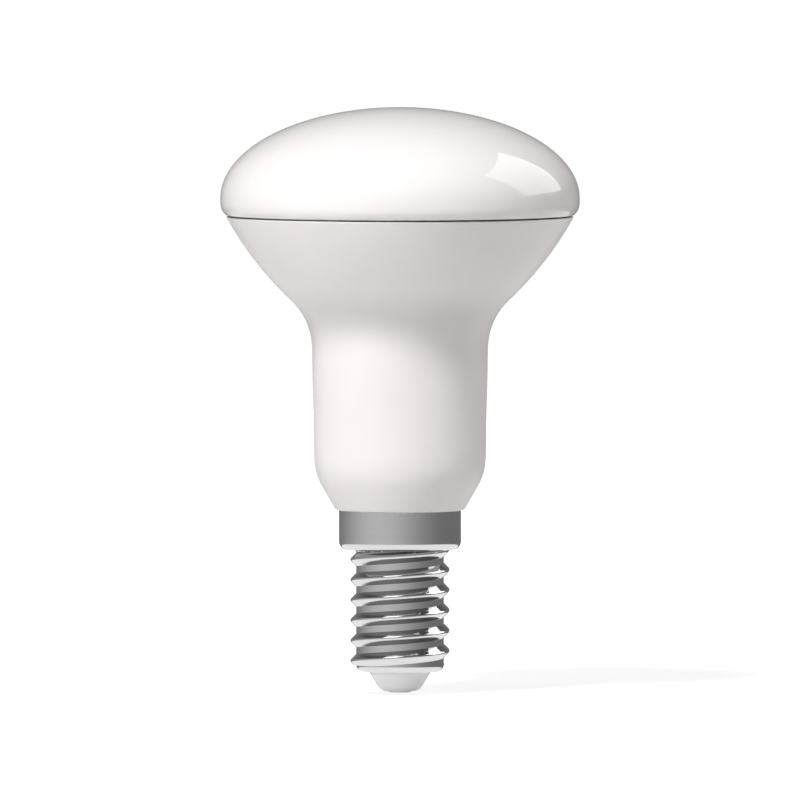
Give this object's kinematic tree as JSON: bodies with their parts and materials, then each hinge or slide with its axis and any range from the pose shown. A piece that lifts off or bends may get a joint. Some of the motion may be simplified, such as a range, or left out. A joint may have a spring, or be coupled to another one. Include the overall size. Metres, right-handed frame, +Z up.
{
  "type": "reflector lamp",
  "caption": "Reflector lamp with a domed opal front, a white flared and waisted housing, and a metal screw cap with a smooth collar and a centre contact.",
  "frame": {"origin": "middle of the centre contact's face, the lowest point of the lamp", "axes": "+Z up the lamp's axis from the screw cap to the top of the front; +X to the right as pictured, +Y away from the viewer"},
  "size_m": [0.05, 0.05, 0.0815],
  "materials": {
    "opal_front": "opal white, high gloss",
    "white_housing": "warm white, satin",
    "plated_cap": "nickel plate, bright on the thread and collar",
    "nose_plastic": "light grey, satin",
    "contact_metal": "nickel plate, dull"
  },
  "bodies": {
    "root": {"diffuser": "opal_front", "housing": "white_housing", "cap_shell": "plated_cap", "cap_insulator": "nose_plastic", "centre_contact": "contact_metal"}
  },
  "joints": []
}
